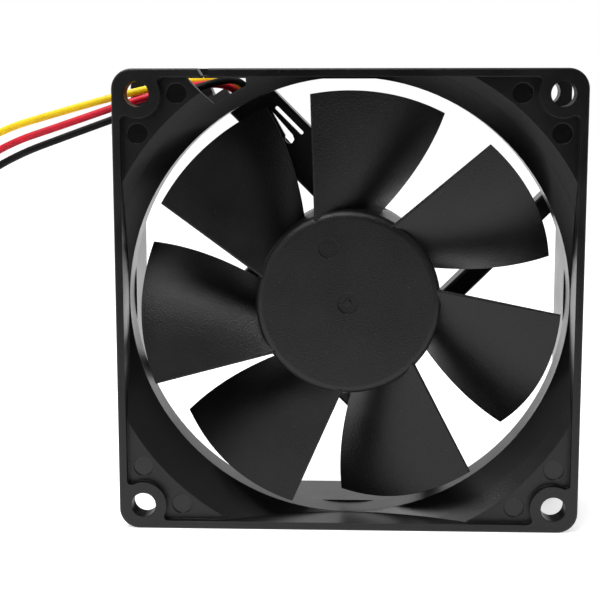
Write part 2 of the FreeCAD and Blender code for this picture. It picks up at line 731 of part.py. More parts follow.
def cord_wire(points, name):
    """Straight runs joined by tangent arcs, each as large as its two runs allow."""
    edges = []
    radii = []
    here = points[0]
    for before, corner, after in zip(points, points[1:], points[2:]):
        back = before - corner
        ahead = after - corner
        turn = math.pi - back.getAngle(ahead)
        trim = 0.45 * min(back.Length, ahead.Length)
        radius = trim / math.tan(turn / 2)
        back.normalize()
        ahead.normalize()
        bisector = (back + ahead).normalize()
        start = corner + back * trim
        end = corner + ahead * trim
        crown = corner + bisector * (radius / math.cos(turn / 2) - radius)
        edges.append(Part.LineSegment(here, start).toShape())
        edges.append(Part.Arc(start, crown, end).toShape())
        radii.append(radius)
        here = end
    edges.append(Part.LineSegment(here, points[-1]).toShape())
    wire = Part.Wire(edges)
    print(name, "length", round(wire.Length, 1), "radii", [round(radius, 1) for radius in radii])
    return wire


def cord_tube(points, name):
    """Round tube along a route, with its volume compared with its section times its length."""
    wire = cord_wire(points, name)
    heading = points[1] - points[0]
    circle = Part.Wire(Part.makeCircle(LEAD / 2, points[0], heading))
    tube = wire.makePipeShell([circle], True, False)
    expected = math.pi * (LEAD / 2) ** 2 * wire.Length
    print(name, "volume over expected", round(tube.Volume / expected, 4), "valid", tube.isValid())
    return tube


def lead(colour, place):
    main = cord_tube(LEAD_ROUTES[colour], colour + " lead")
    tail = cord_tube(lead_tail(place), colour + " tail")
    return Part.makeCompound([main, tail])


def lead_coil():
    """Outer shape of the coiled spare length of the three leads."""
    bottom = FLOOR + COIL_LIFT
    height = BUNDLE * (COIL_TURNS + 0.5) + BUNDLE / 2
    centre = FreeCAD.Vector(COIL_X, 0, bottom)
    ring = Part.makeCylinder(COIL_R + BUNDLE / 2, height, centre, UP)
    return ring.cut(Part.makeCylinder(COIL_R - BUNDLE / 2, height, centre, UP))


def lead_tie():
    """Strap round the coil's left side, which the coil rests on."""
    strap = 0.4
    height = BUNDLE * (COIL_TURNS + 0.5) + BUNDLE / 2
    inner_x = COIL_X - COIL_R - BUNDLE / 2
    width = BUNDLE + 0.25
    outer = Part.makeBox(width + 2 * strap, TIE_WIDTH, height + 2 * strap,
                         FreeCAD.Vector(inner_x - strap, -TIE_WIDTH / 2, FLOOR))
    inner = Part.makeBox(width, TIE_WIDTH + 2, height,
                         FreeCAD.Vector(inner_x, -TIE_WIDTH / 2 - 1, FLOOR + strap))
    rounded = outer.makeFillet(0.35, [edge for edge in outer.Edges
                                      if abs(edge.Vertexes[0].Point.y - edge.Vertexes[-1].Point.y) > 1])
    head = Part.makeBox(1.6, TIE_WIDTH + 1.2, 3.4,
                        FreeCAD.Vector(inner_x - strap - 1.5, -TIE_WIDTH / 2 - 0.6, FLOOR + 3.0))
    return rounded.cut(inner).fuse(head)


# ---- connector ----

def connector_housing():
    """Three-way housing with a latch ramp on top and an open socket for each terminal."""
    y0 = PLUG_Y - PLUG_WIDTH / 2
    box = Part.makeBox(PLUG_LENGTH, PLUG_WIDTH, PLUG_HEIGHT, FreeCAD.Vector(PLUG_BACK, y0, FLOOR))
    box = box.makeFillet(0.3, [edge for edge in box.Edges
                               if abs(edge.Vertexes[0].Point.x - edge.Vertexes[-1].Point.x) > 1])
    cuts = []
    for place in (-1, 0, 1):
        y = PLUG_Y + place * PIN_PITCH
        z = FLOOR + PLUG_HEIGHT / 2
        cuts.append(Part.makeBox(PLUG_LENGTH + 2, 1.9, 2.2, FreeCAD.Vector(PLUG_BACK - 1, y - 0.95, z - 1.1)))
        cuts.append(Part.makeBox(2.4, 1.2, 3.0, FreeCAD.Vector(PLUG_BACK + 6.0, y - 0.6, z + 0.5)))
    for side in (-1, 1):
        edge_y = PLUG_Y + side * PLUG_WIDTH / 2
        corner = FreeCAD.Vector(PLUG_BACK - 1, edge_y - 0.25, FLOOR + 1.0)
        cuts.append(Part.makeBox(PLUG_LENGTH + 2, 0.5, 1.0, corner))
    return box.cut(cuts)


def crimp_terminals():
    """A folded contact in each socket, with its crimp round the lead's end."""
    solids = []
    for place in (-1, 0, 1):
        y = PLUG_Y + place * PIN_PITCH
        z = FLOOR + PLUG_HEIGHT / 2
        box = Part.makeBox(7.4, 1.7, 1.9, FreeCAD.Vector(PLUG_BACK + 4.2, y - 0.85, z - 0.95))
        bore = Part.makeBox(7.0, 1.2, 1.3, FreeCAD.Vector(PLUG_BACK + 4.9, y - 0.6, z - 0.65))
        crimp_end = FreeCAD.Vector(PLUG_BACK + CRIMP_START, y, z)
        crimp = Part.makeCylinder(0.75, 3.4, crimp_end, FreeCAD.Vector(1, 0, 0))
        solids.append(box.cut(bore).fuse(crimp))
    return Part.makeCompound(solids)


# ---- output ----

def nodes():
    """Every sub-part, by the name of its node."""
    parts = {
        "frame": frame(), "impeller": impeller(), "rotor_yoke": rotor_yoke(), "ring_magnet": ring_magnet(),
        "shaft": shaft(), "shaft_bush": shaft_bush(), "preload_washer": preload_washer(),
        "retaining_clip": retaining_clip(), "spacer_washer": spacer_washer(), "bearing_tube": bearing_tube(),
        "stator_core": stator_core(), "front_insulator": front_insulator(),
        "rear_insulator": rear_insulator(), "circuit_board": circuit_board(), "winding_pins": winding_pins(),
        "hall_sensor": hall_sensor(), "driver_chip": driver_chip(), "capacitors": capacitors(),
        "resistors": resistors(), "diode": diode(), "solder_joints": solder_joints(),
        "rear_label": rear_label(), "lead_coil": lead_coil(), "lead_tie": lead_tie(),
        "connector_housing": connector_housing(), "crimp_terminals": crimp_terminals(),
    }
    for index, coil in enumerate(ring_of(winding(), POLES)):
        parts["winding_%d" % (index + 1)] = coil
    for side, front in (("front", FRONT_BEARING), ("rear", REAR_BEARING)):
        parts[side + "_outer_ring"] = outer_ring(front)
        parts[side + "_inner_ring"] = inner_ring(front)
        parts[side + "_balls"] = balls(front)
        parts[side + "_cage"] = cage(front)
        parts[side + "_shields"] = shields(front)
    for place, colour in ((-1, "yellow"), (0, "red"), (1, "black")):
        parts["lead_" + colour] = lead(colour, place)
    return parts


def main():
    os.makedirs("parts", exist_ok=True)
    for name, shape in nodes().items():
        print(name, "solids", len(shape.Solids), "valid", shape.isValid(), "volume", round(shape.Volume, 1))
        shape.exportStep(os.path.join("parts", name + ".step"))


main()
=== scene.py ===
import json
import math

import bpy
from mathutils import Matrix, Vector


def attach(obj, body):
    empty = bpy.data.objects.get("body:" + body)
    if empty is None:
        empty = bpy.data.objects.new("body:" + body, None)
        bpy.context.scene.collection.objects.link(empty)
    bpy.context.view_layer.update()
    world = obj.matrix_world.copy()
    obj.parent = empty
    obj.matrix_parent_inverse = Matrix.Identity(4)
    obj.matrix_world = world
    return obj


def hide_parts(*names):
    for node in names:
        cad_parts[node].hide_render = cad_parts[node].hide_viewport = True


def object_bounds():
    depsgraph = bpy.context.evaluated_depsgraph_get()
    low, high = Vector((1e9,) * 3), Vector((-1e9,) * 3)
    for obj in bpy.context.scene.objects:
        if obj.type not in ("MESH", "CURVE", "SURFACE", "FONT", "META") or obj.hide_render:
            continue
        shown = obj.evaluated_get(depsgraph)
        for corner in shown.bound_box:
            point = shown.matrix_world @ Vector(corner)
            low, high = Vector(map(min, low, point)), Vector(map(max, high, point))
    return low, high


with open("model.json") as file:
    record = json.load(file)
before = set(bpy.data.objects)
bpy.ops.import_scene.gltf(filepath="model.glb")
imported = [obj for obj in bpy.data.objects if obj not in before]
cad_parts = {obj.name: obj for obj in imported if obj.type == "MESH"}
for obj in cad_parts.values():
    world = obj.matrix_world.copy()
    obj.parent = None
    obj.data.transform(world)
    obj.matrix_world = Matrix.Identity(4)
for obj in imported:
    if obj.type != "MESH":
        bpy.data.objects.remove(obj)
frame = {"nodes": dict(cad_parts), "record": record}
CAD_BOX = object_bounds()

MM = 0.001
NODES = frame["nodes"]
STATOR = "stator"

# ---- camera ----
# The place and the nearest and farthest seen are in metres. SENSOR and LENS are in millimetres.

SENSOR = 36.0
LENS = 86.6
NEAREST = 0.01
FARTHEST = 20.0
CAMERA_PLACE = (0.00267, -0.25598, 0.03933)
CAMERA_YAW = math.radians(2.54)
CAMERA_PITCH = math.radians(-8.97)
CAMERA_ROLL = math.radians(0.08)


def make_camera():
    """Camera level with the fan's top edge, a quarter of a metre in front of it and tilted down."""
    data = bpy.data.cameras.new("camera")
    data.sensor_width = SENSOR
    data.lens = LENS
    data.clip_start = NEAREST
    data.clip_end = FARTHEST
    camera = bpy.data.objects.new("camera", data)
    camera.location = CAMERA_PLACE
    camera.rotation_euler = (math.pi / 2 + CAMERA_PITCH, CAMERA_ROLL, CAMERA_YAW)
    bpy.context.scene.collection.objects.link(camera)
    bpy.context.scene.camera = camera


# ---- leads ----
# Millimetres and degrees. The route points, the coil and the plug are placed as in the part's source.
# LEAD is a lead's diameter. A lead's place in the plug is -1, 0 or 1. LEAD_LENGTH alone is in metres.

LEAD = 1.3
FLOOR = -40.0
DEPTH = 25.0
COIL_X = -110.0
COIL_R = 7.3
COIL_LIFT = 0.4
BUNDLE = 2.85
COIL_START_Z = FLOOR + COIL_LIFT + BUNDLE / 2
COIL_START_ANGLE = 90.0
COIL_TURNS = 2.5
POINTS_PER_TURN = 14
STRAND_OFFSET = 0.77
TWIST = 270.0
TAIL_START = 0.5
TAIL_PITCH = 1.35
TAIL_BEND = 5.5
TAIL_BEND_PITCH = 1.62
TAIL_DROP = 0.6
PLUG_BACK = -92.5
PLUG_HEIGHT = 5.8
PIN_PITCH = 2.54
CRIMP_START = 1.0
CRIMP_RUN = 6.0
CRIMP_RISE = 0.5


def in_channel(offset, along, depth):
    """A point of the wide strut, from its distances across the strut, along it and behind the intake."""
    slant = math.sqrt(0.5)
    return (slant * (offset - along), depth - DEPTH / 2, slant * (offset + along))


LEAD_ROUTES = {
    "yellow": [
        in_channel(12.1, 3.7, 19.8), in_channel(12.3, 8.3, 21.95), in_channel(12.0, 15.5, 22.7),
        in_channel(9.9, 24.0, 22.85), in_channel(9.9, 32.6, 22.9), in_channel(12.3, 39.8, 21.5),
        (-24.5, 2.0, 38.3), (-36.7, -2.4, 36.3), (-50.0, -2.7, 32.7), (-64.0, -1.6, 28.6),
        (-75.5, 0.6, 18.8), (-83.3, 3.2, 5.3), (-88.3, 5.4, -10.3), (-93.1, 6.7, -24.6),
        (-99.7, 7.2, -35.2), (-107.0, 7.3, -37.4)],
    "red": [
        in_channel(9.0, 6.0, 19.8), in_channel(9.0, 11.5, 21.65), in_channel(9.15, 19.5, 21.4),
        in_channel(9.1, 33.0, 21.8), in_channel(11.4, 39.1, 20.2),
        (-24.0, 0.1, 37.9), (-36.8, -2.6, 34.8), (-49.0, -2.9, 30.6), (-62.5, -1.8, 26.2),
        (-73.6, 1.3, 17.4), (-81.2, 4.2, 4.8), (-86.7, 6.3, -10.7), (-91.9, 7.5, -25.5),
        (-99.0, 7.9, -36.4), (-107.0, 7.95, -38.6)],
    "black": [
        in_channel(10.9, 5.2, 19.8), in_channel(10.7, 10.5, 21.7), in_channel(10.45, 18.5, 21.45),
        in_channel(10.55, 33.0, 21.8), in_channel(13.2, 39.6, 19.8),
        (-22.0, -1.5, 38.4), (-36.0, -3.7, 33.1), (-47.5, -3.5, 29.0), (-60.5, -2.9, 24.3),
        (-72.4, -0.5, 16.2), (-80.4, 2.5, 4.0), (-86.2, 4.7, -11.0), (-91.9, 6.0, -25.6),
        (-99.0, 6.5, -36.4), (-107.0, 6.6, -38.6)],
}
LEAD_PLACE = {"yellow": -1, "red": 0, "black": 1}
LEAD_PHASE = {"yellow": 90.0, "red": -30.0, "black": 210.0}


def coil_points(phase):
    """Turns of one lead in the twisted bundle, from the far side of the coil round to its near side."""
    count = round(COIL_TURNS * POINTS_PER_TURN)
    points = []
    for index in range(count):
        turn = index / POINTS_PER_TURN
        around = math.radians(COIL_START_ANGLE + 360.0 * turn)
        strand = math.radians(phase + TWIST * index / count)
        radius = COIL_R + STRAND_OFFSET * math.cos(strand)
        height = COIL_START_Z + BUNDLE * turn + STRAND_OFFSET * math.sin(strand)
        points.append((COIL_X + radius * math.cos(around), radius * math.sin(around), height))
    return points


def tail_points(place):
    """From the top of the coil to the lead's socket in the plug."""
    top = COIL_START_Z + BUNDLE * COIL_TURNS
    near = -COIL_R
    crimp_x = PLUG_BACK + CRIMP_START
    crimp_y = near + place * PIN_PITCH
    crimp_z = FLOOR + PLUG_HEIGHT / 2
    return [
        (COIL_X + TAIL_START, near + place * TAIL_PITCH, top),
        (COIL_X + TAIL_BEND, near + place * TAIL_BEND_PITCH, top - TAIL_DROP),
        (crimp_x - CRIMP_RUN, crimp_y, crimp_z + CRIMP_RISE),
        (crimp_x, crimp_y, crimp_z),
    ]


def make_lead(colour):
    """One lead from its solder pad to its terminal. The yellow one also stands for the CAD coil."""
    name = "lead_" + colour
    points = LEAD_ROUTES[colour] + coil_points(LEAD_PHASE[colour]) + tail_points(LEAD_PLACE[colour])
    curve = bpy.data.curves.new(name + "_wire", "CURVE")
    curve.dimensions = "3D"
    curve.resolution_u = 10
    curve.bevel_depth = LEAD / 2
    curve.bevel_resolution = 6
    curve.use_fill_caps = True
    spline = curve.splines.new("NURBS")
    spline.points.add(len(points) - 1)
    for point, place in zip(spline.points, points):
        point.co = (*(Vector(place) * MM), 1.0)
        point.radius = MM
    spline.order_u = 3
    spline.use_endpoint_u = True
    piece = bpy.data.objects.new(name + "_wire", curve)
    bpy.context.scene.collection.objects.link(piece)
    replaced = [name]
    if colour == "yellow":
        replaced.append("lead_coil")
    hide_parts(*replaced)
    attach(piece, STATOR)
    return piece


# ---- material tools ----
# At a scale of one, the wave texture runs through WAVE_RADIANS in each unit of length.
# Most of a noise's values lie between NOISE_LOW and NOISE_HIGH. SPOT_FADE is in mm, FAR_AWAY in metres.

WAVE_RADIANS = 20.0
NOISE_LOW = 0.3
NOISE_HIGH = 0.7
SPOT_FADE = 0.15
FAR_AWAY = 1.0
BEVEL_SAMPLES = 4


class Surface:
    """A material's node tree, with short calls for the textures that its surface is made of."""

    def __init__(self, name, colour, roughness, metallic=0.0, specular=0.5):
        self.material = bpy.data.materials.new(name)
        self.material.use_nodes = True
        self.tree = self.material.node_tree
        self.shader = self.tree.nodes["Principled BSDF"]
        self.shader.inputs["Base Color"].default_value = (*colour, 1.0)
        self.shader.inputs["Roughness"].default_value = roughness
        self.shader.inputs["Metallic"].default_value = metallic
        self.shader.inputs["Specular IOR Level"].default_value = specular
        self.place = self.tree.nodes.new("ShaderNodeTexCoord").outputs["Object"]
        self.normal = None

    def node(self, kind, **settings):
        """A new node with its settings."""
        made = self.tree.nodes.new(kind)
        for name, value in settings.items():
            setattr(made, name, value)
        return made

    def link(self, source, target):
        """Joins an output to an input."""
        self.tree.links.new(source, target)

    def stretched(self, x, y, z):
        """Object coordinates stretched along the axes, for brushed or drawn surfaces."""
        mapping = self.node("ShaderNodeMapping")
        mapping.inputs["Scale"].default_value = (x, y, z)
        self.link(self.place, mapping.inputs["Vector"])
        return mapping.outputs["Vector"]

    def noise(self, size_mm, detail=2.0, roughness=0.5, place=None):
        """Noise whose blotches are about size_mm across."""
        texture = self.node("ShaderNodeTexNoise")
        texture.inputs["Scale"].default_value = 1.0 / (size_mm * MM)
        texture.inputs["Detail"].default_value = detail
        texture.inputs["Roughness"].default_value = roughness
        self.link(place or self.place, texture.inputs["Vector"])
        return texture.outputs["Fac"]

    def cells(self, size_mm, feature="F1"):
        """Distance inside irregular cells that are about size_mm across."""
        texture = self.node("ShaderNodeTexVoronoi", feature=feature)
        texture.inputs["Scale"].default_value = 1.0 / (size_mm * MM)
        self.link(self.place, texture.inputs["Vector"])
        return texture.outputs["Distance"]

    def bands(self, pitch_mm, axis, profile="SIN", distortion=0.0):
        """Straight bands across an axis, one every pitch_mm."""
        wave = self.node("ShaderNodeTexWave", bands_direction=axis, wave_profile=profile)
        wave.inputs["Scale"].default_value = 2 * math.pi / WAVE_RADIANS / (pitch_mm * MM)
        wave.inputs["Distortion"].default_value = distortion
        self.link(self.place, wave.inputs["Vector"])
        return wave.outputs["Fac"]

    def between(self, value, low, high, out_low=0.0, out_high=1.0):
        """The value's stretch from low to high, as one from out_low to out_high."""
        ramp = self.node("ShaderNodeMapRange")
        ramp.inputs["From Min"].default_value = low
        ramp.inputs["From Max"].default_value = high
        ramp.inputs["To Min"].default_value = out_low
        ramp.inputs["To Max"].default_value = out_high
        self.link(value, ramp.inputs["Value"])
        return ramp.outputs["Result"]

    def radius(self):
        """Distance from the rotor's axis."""
        flat = self.node("ShaderNodeVectorMath", operation="MULTIPLY")
        flat.inputs[1].default_value = (1.0, 0.0, 1.0)
        self.link(self.place, flat.inputs[0])
        length = self.node("ShaderNodeVectorMath", operation="LENGTH")
        self.link(flat.outputs["Vector"], length.inputs[0])
        return length.outputs["Value"]

    def spots(self, places, radius_mm):
        """One inside circles round the places (x, z) in mm and their mirror places, and zero outside."""
        folded = self.node("ShaderNodeVectorMath", operation="ABSOLUTE")
        self.link(self.place, folded.inputs[0])
        flat = self.node("ShaderNodeVectorMath", operation="MULTIPLY")
        flat.inputs[1].default_value = (1.0, 0.0, 1.0)
        self.link(folded.outputs["Vector"], flat.inputs[0])
        nearest = FAR_AWAY
        for x, z in places:
            gap = self.node("ShaderNodeVectorMath", operation="DISTANCE")
            gap.inputs[1].default_value = (x * MM, 0.0, z * MM)
            self.link(flat.outputs["Vector"], gap.inputs[0])
            nearest = self.math("MINIMUM", gap.outputs["Value"], nearest)
        return self.between(nearest, (radius_mm - SPOT_FADE) * MM, radius_mm * MM, 1.0, 0.0)

    def math(self, operation, first, second):
        """One operation on two values, each a number or a node's output."""
        made = self.node("ShaderNodeMath", operation=operation)
        for socket, value in zip(made.inputs, (first, second)):
            if isinstance(value, (int, float)):
                socket.default_value = value
            else:
                self.link(value, socket)
        return made.outputs["Value"]

    def mixed(self, factor, first, second):
        """A colour that runs from first to second with the factor."""
        mix = self.node("ShaderNodeMix", data_type="RGBA")
        inputs = {socket.name: socket for socket in mix.inputs if socket.type == "RGBA"}
        for name, colour in (("A", first), ("B", second)):
            if isinstance(colour, tuple):
                inputs[name].default_value = (*colour, 1.0)
            else:
                self.link(colour, inputs[name])
        self.link(factor, mix.inputs["Factor"])
        return next(socket for socket in mix.outputs if socket.type == "RGBA")

    def colours(self, factor, first, second):
        """The base colour runs from first to second with the factor."""
        self.link(self.mixed(factor, first, second), self.shader.inputs["Base Color"])

    def rough(self, factor, low, high):
        """The roughness runs from low to high with a noise."""
        dull = self.between(factor, NOISE_LOW, NOISE_HIGH, low, high)
        self.link(dull, self.shader.inputs["Roughness"])

    def soft_edges(self, radius_mm):
        """Rounds the look of every edge, as a mould's edges are rounded."""
        bevel = self.node("ShaderNodeBevel", samples=BEVEL_SAMPLES)
        bevel.inputs["Radius"].default_value = radius_mm * MM
        self.normal = bevel.outputs["Normal"]

    def bump(self, height, depth_mm):
        """Adds relief of about depth_mm to what is there already."""
        relief = self.node("ShaderNodeBump")
        relief.inputs["Strength"].default_value = 1.0
        relief.inputs["Distance"].default_value = depth_mm * MM
        self.link(height, relief.inputs["Height"])
        if self.normal is not None:
            self.link(self.normal, relief.inputs["Normal"])
        self.normal = relief.outputs["Normal"]
        self.link(self.normal, self.shader.inputs["Normal"])


def scaled(colour, factor):
    """The colour, darker below a factor of one and brighter above it."""
    return tuple(channel * factor for channel in colour)


# ---- materials ----
# What all moulded plastics share. Lengths are in mm. A dust speck's core and rim are shares of its cell.

FRAME_BLACK = (0.0036, 0.0036, 0.0039)
BLADE_BLACK = (0.0046, 0.0046, 0.0049)
NATURAL_NYLON = (0.46, 0.42, 0.33)
DUST = (0.05, 0.05, 0.052)
DUST_PITCH = 1.9
DUST_CORE = 0.035
DUST_RIM = 0.06
DUST_COVER = 0.75
EDGE_RADIUS = 0.2
FLOW_PITCH = 9.0
FLOW_SHARE = 0.4
GRAIN_SHARE = 0.6
SINK_PITCH = 14.0
SINK_DEPTH = 0.03
SPREAD = 0.05


def moulded_surface(name, colour, grain_mm, variation, specular):
    """Colour of moulded plastic: spark-eroded grain, a faint flow pattern and specks of dust."""
    surface = Surface(name, colour, 0.5, specular=specular)
    surface.soft_edges(EDGE_RADIUS)
    flow = surface.noise(FLOW_PITCH, detail=3.0)
    grain = surface.noise(grain_mm, detail=3.0, roughness=0.6)
    flow_part = surface.math("MULTIPLY", flow, FLOW_SHARE)
    grain_part = surface.math("MULTIPLY", grain, GRAIN_SHARE)
    tone = surface.between(surface.math("ADD", flow_part, grain_part), 0.38, 0.62)
    plain = surface.mixed(tone, scaled(colour, 1 - variation), scaled(colour, 1 + variation))
    dust = surface.between(surface.cells(DUST_PITCH), DUST_CORE, DUST_RIM, DUST_COVER, 0.0)
    surface.colours(dust, plain, DUST)
    return surface, flow, grain


def moulded(name, colour, grain_mm, grain_depth_mm, roughness, variation=0.12, specular=0.5):
    """Moulded plastic with the same grain all over."""
    surface, flow, grain = moulded_surface(name, colour, grain_mm, variation, specular)
    surface.rough(flow, roughness - SPREAD, roughness + SPREAD)
    surface.bump(surface.noise(SINK_PITCH, detail=1.0), SINK_DEPTH)
    surface.bump(grain, grain_depth_mm)
    return surface.material


# The frame's own finish: places, radii, fades and grain in mm. A polish is a factor on the roughness.

FRAME_GRAIN = 0.30
FRAME_GRAIN_DEPTH = 0.04
FRAME_VARIATION = 0.25
FRAME_SHEEN = 0.33
DUCT_R = 41.5
DUCT_FADE = 0.4
DUCT_POLISH = 0.85
DUCT_GRAIN = 0.4
WALL_R = 37.8
WALL_FADE = 0.5
THROAT_FADE = 0.3
EXIT_POLISH = 0.9
PIN_MARK_NEAR = 29.1
PIN_MARK_FAR = 35.85
PIN_MARK_R = 1.75
MARK_POLISH = 0.55
HOLE_PLACE = 35.75
BORE_R = 2.3
BORE_SHEEN = 0.12


def frame_plastic(name, colour, roughness):
    """The frame's plastic: grained outside, smoother in the duct, and smoothest in the pin marks."""
    surface, flow, grain = moulded_surface(name, colour, FRAME_GRAIN, FRAME_VARIATION, FRAME_SHEEN)
    radius = surface.radius()
    depth = surface.node("ShaderNodeSeparateXYZ")
    surface.link(surface.place, depth.inputs["Vector"])
    outside = surface.between(radius, DUCT_R * MM, (DUCT_R + DUCT_FADE) * MM)
    on_wall = surface.between(radius, (WALL_R - WALL_FADE) * MM, WALL_R * MM)
    behind = surface.between(depth.outputs["Y"], -THROAT_FADE * MM, THROAT_FADE * MM)
    inside = surface.math("SUBTRACT", 1.0, outside)
    exit_wall = surface.math("MULTIPLY", surface.math("MULTIPLY", on_wall, behind), inside)
    pins = surface.spots(((PIN_MARK_NEAR, PIN_MARK_FAR), (PIN_MARK_FAR, PIN_MARK_NEAR)), PIN_MARK_R)
    marks = surface.math("MULTIPLY", pins, surface.math("SUBTRACT", 1.0, behind))
    bores = surface.spots(((HOLE_PLACE, HOLE_PLACE),), BORE_R)
    sheen = surface.between(bores, 0.0, 1.0, FRAME_SHEEN, BORE_SHEEN)
    surface.link(sheen, surface.shader.inputs["Specular IOR Level"])
    dull = surface.between(flow, NOISE_LOW, NOISE_HIGH, roughness - SPREAD, roughness + SPREAD)
    for mask, polish in ((inside, DUCT_POLISH), (exit_wall, EXIT_POLISH), (marks, MARK_POLISH)):
        dull = surface.math("MULTIPLY", dull, surface.between(mask, 0.0, 1.0, 1.0, polish))
    surface.link(dull, surface.shader.inputs["Roughness"])
    relief = surface.math("MULTIPLY", grain, surface.between(inside, 0.0, 1.0, 1.0, DUCT_GRAIN))
    surface.bump(surface.noise(SINK_PITCH, detail=1.0), SINK_DEPTH)
    surface.bump(relief, FRAME_GRAIN_DEPTH)
    return surface.material


def turned_metal(name, colour, roughness):
    """Lathe-turned metal: fine rings about the rotor's axis."""
    surface = Surface(name, colour, roughness, metallic=1.0)
    rings = surface.noise(0.08, detail=1.0, place=surface.stretched(0.05, 1.0, 0.05))
    stain = surface.noise(2.5, detail=3.0)
    surface.colours(surface.between(stain, 0.35, 0.7), scaled(colour, 0.86), colour)
    surface.rough(stain, roughness - 0.06, roughness + 0.08)
    surface.bump(rings, 0.002)
    return surface.material


def sheet_metal(name, colour, roughness):
    """Pressed or stamped metal: drawn lines, soft dents and small stains."""
    surface = Surface(name, colour, roughness, metallic=1.0)
    drawn = surface.noise(0.12, detail=2.0, place=surface.stretched(1.0, 0.06, 1.0))
    stain = surface.noise(1.8, detail=4.0)
    surface.colours(surface.between(stain, NOISE_LOW, NOISE_HIGH), scaled(colour, 0.8), colour)
    surface.rough(stain, roughness - 0.07, roughness + 0.1)
    surface.bump(surface.noise(3.0), 0.02)
    surface.bump(drawn, 0.003)
    return surface.material


def laminated_steel(name, colour):
    """The edge of a stack of thin sheets, dark between them."""
    surface = Surface(name, colour, 0.45, metallic=1.0)
    sheets = surface.between(surface.bands(1.0, "Y", profile="SAW"), 0.0, 0.16)
    surface.colours(sheets, scaled(colour, 0.35), colour)
    surface.rough(surface.noise(0.8, detail=3.0), 0.36, 0.55)
    surface.bump(sheets, 0.03)
    return surface.material


def wound_copper(name, colour):
    """Layers of enamelled wire side by side, with painted shade in the grooves between the wires."""
    surface = Surface(name, colour, 0.3, metallic=0.75)
    wire_ridges_and_groove_shade = surface.bands(0.44, "X", distortion=0.6)
    # Painted shade: the copper colour darkens to 0.45 in the grooves between the wires.
    surface.colours(wire_ridges_and_groove_shade, scaled(colour, 0.45), colour)
    surface.rough(surface.noise(1.0, detail=2.0), 0.24, 0.42)
    surface.bump(wire_ridges_and_groove_shade, 0.06)
    return surface.material


def ferrite(name, colour):
    """Bonded ferrite: dull grey-brown with fine sparkling grains."""
    surface = Surface(name, colour, 0.7)
    grain = surface.noise(0.1, detail=3.0, roughness=0.7)
    surface.colours(surface.between(grain, 0.35, 0.65), scaled(colour, 0.7), scaled(colour, 1.3))
    surface.rough(surface.noise(1.5), 0.6, 0.8)
    surface.bump(grain, 0.01)
    return surface.material


def board(name, colour):
    """Glass-epoxy board under green solder mask, with copper areas faintly raised under it."""
    surface = Surface(name, colour, 0.32, specular=0.55)
    tracks = surface.between(surface.cells(2.6, "DISTANCE_TO_EDGE"), 0.08, 0.11)
    weave = surface.noise(0.35, detail=1.0)
    surface.colours(tracks, scaled(colour, 0.62), scaled(colour, 1.35))
    surface.rough(surface.noise(2.0, detail=2.0), 0.26, 0.4)
    surface.bump(tracks, 0.03)
    surface.bump(weave, 0.003)
    return surface.material


def film(name, colour):
    """Blank satin film of the rear label, with tiny bubbles and rub marks."""
    surface = Surface(name, colour, 0.36)
    rub = surface.noise(0.5, detail=3.0, place=surface.stretched(1.0, 1.0, 0.12))
    cloud = surface.noise(6.0, detail=3.0)
    surface.colours(surface.between(cloud, NOISE_LOW, NOISE_HIGH), scaled(colour, 0.93), colour)
    surface.rough(rub, 0.28, 0.46)
    bubbles = surface.between(surface.cells(2.3), 0.0, 0.22, 1.0, 0.0)
    surface.bump(bubbles, 0.02)
    surface.bump(surface.noise(3.0, detail=2.0), 0.02)
    return surface.material


def vinyl(name, colour, dirt, sheen=0.25):
    """Extruded lead insulation: satin, faintly uneven along its length, with handling dirt."""
    surface = Surface(name, colour, 0.45, specular=sheen)
    surface.shader.inputs["Subsurface Weight"].default_value = 0.3
    surface.shader.inputs["Subsurface Radius"].default_value = (1.0, 1.0, 1.0)
    surface.shader.inputs["Subsurface Scale"].default_value = 0.5 * MM
    smudge = surface.between(surface.noise(3.5, detail=4.0, roughness=0.6), 0.5, 0.72)
    surface.colours(smudge, colour, dirt)
    surface.rough(surface.noise(1.2, detail=3.0), 0.38, 0.55)
    surface.bump(surface.noise(1.6, detail=2.0), 0.03)
    surface.bump(surface.noise(0.12, detail=2.0), 0.003)
    return surface.material


def ceramic(name, colour):
    """Fired ceramic chip parts: speckled, with a dull glaze."""
    surface = Surface(name, colour, 0.4)
    speckle = surface.noise(0.12, detail=3.0)
    surface.colours(surface.between(speckle, 0.4, 0.6), scaled(colour, 0.8), scaled(colour, 1.1))
    surface.rough(surface.noise(0.6), 0.32, 0.5)
    surface.bump(speckle, 0.004)
    return surface.material


def solder(name, colour):
    """Bright solder with a frosted skin."""
    surface = Surface(name, colour, 0.22, metallic=1.0)
    frost = surface.noise(0.25, detail=3.0)
    surface.colours(surface.between(frost, 0.35, 0.65), scaled(colour, 0.78), colour)
    surface.rough(frost, 0.14, 0.36)
    surface.bump(surface.noise(0.5, detail=2.0), 0.03)
    return surface.material


